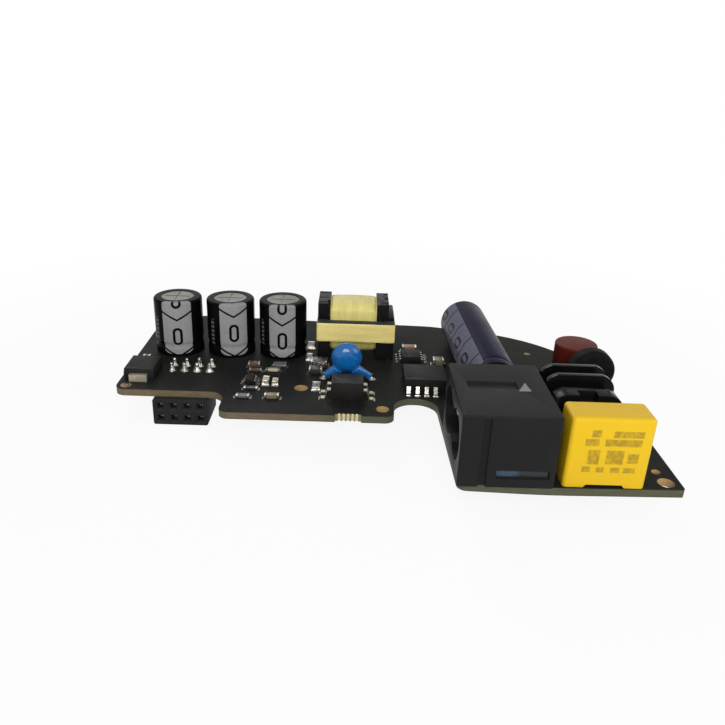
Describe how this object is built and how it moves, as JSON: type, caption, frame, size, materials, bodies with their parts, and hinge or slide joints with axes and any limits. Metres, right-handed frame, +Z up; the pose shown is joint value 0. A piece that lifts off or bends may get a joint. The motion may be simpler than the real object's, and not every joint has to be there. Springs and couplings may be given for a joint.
{
  "type": "power supply board",
  "caption": "Black stepped circuit board with a figure-eight mains inlet, filter parts, transformer, electrolytic capacitors and a socket strip underneath.",
  "frame": {"origin": "under the middle of the board's outline, level with the underside of the socket strip", "axes": "+X along the board from the socket strip's end to the fuse's end, +Y from the inlet's front edge to the back edge, +Z up from the board's component side"},
  "size_m": [0.0976, 0.0721, 0.02],
  "materials": {
    "board_laminate": "satin solder mask",
    "socket_plastic": "matte",
    "inlet_plastic": "satin",
    "plated_contact": "nickel plated",
    "tinned_lead": "tinned",
    "solder": "bright",
    "can_aluminium": "satin",
    "black_sleeve": "glossy",
    "indigo_sleeve": "glossy",
    "bung_rubber": "matte",
    "yellow_case": "satin",
    "potting_epoxy": "matte",
    "black_former": "glossy",
    "ferrite": "matte",
    "pale_tape": "satin",
    "wound_coil": "satin tape over copper",
    "dark_coil": "enamelled",
    "blue_coating": "glossy",
    "chip_epoxy": "matte",
    "fuse_cap": "satin",
    "fuse_base": "satin",
    "thermistor_coating": "satin",
    "chip_ceramic": "satin",
    "resistor_glass": "satin"
  },
  "bodies": {
    "root": {"chip_capacitor_bodies": "chip_ceramic", "chip_capacitor_ends": "tinned_lead", "chip_resistor_bodies": "resistor_glass", "chip_resistor_ends": "tinned_lead", "choke_core_back": "ferrite", "choke_core_front": "ferrite", "choke_former": "black_former", "choke_pins": "tinned_lead", "choke_windings": "dark_coil", "circuit_board": "board_laminate", "controller_body": "chip_epoxy", "controller_leads": "tinned_lead", "diode_body": "chip_epoxy", "diode_terminals": "tinned_lead", "disc_capacitor_body": "blue_coating", "disc_capacitor_leads": "tinned_lead", "driver_chip_body": "chip_epoxy", "driver_chip_leads": "tinned_lead", "film_capacitor_case": "yellow_case", "film_capacitor_leads": "tinned_lead", "film_capacitor_potting": "potting_epoxy", "fuse_base": "fuse_base", "fuse_cap": "fuse_cap", "fuse_leads": "tinned_lead", "inlet_housing": "inlet_plastic", "inlet_pins": "plated_contact", "optocoupler_body": "chip_epoxy", "optocoupler_leads": "tinned_lead", "output_capacitor_1_bung": "bung_rubber", "output_capacitor_1_can": "can_aluminium", "output_capacitor_1_leads": "tinned_lead", "output_capacitor_1_sleeve": "black_sleeve", "output_capacitor_2_bung": "bung_rubber", "output_capacitor_2_can": "can_aluminium", "output_capacitor_2_leads": "tinned_lead", "output_capacitor_2_sleeve": "black_sleeve", "output_capacitor_3_bung": "bung_rubber", "output_capacitor_3_can": "can_aluminium", "output_capacitor_3_leads": "tinned_lead", "output_capacitor_3_sleeve": "black_sleeve", "reservoir_capacitor_bung": "bung_rubber", "reservoir_capacitor_can": "can_aluminium", "reservoir_capacitor_leads": "tinned_lead", "reservoir_capacitor_sleeve": "indigo_sleeve", "sense_chip_body": "chip_epoxy", "sense_chip_leads": "tinned_lead", "socket_contacts": "plated_contact", "socket_housing": "socket_plastic", "solder_joints": "solder", "thermistor_disc": "thermistor_coating", "thermistor_leads": "tinned_lead", "transformer_core_left": "ferrite", "transformer_core_right": "ferrite", "transformer_core_tape": "pale_tape", "transformer_former": "black_former", "transformer_pins": "tinned_lead", "transformer_winding": "wound_coil"}
  },
  "joints": []
}
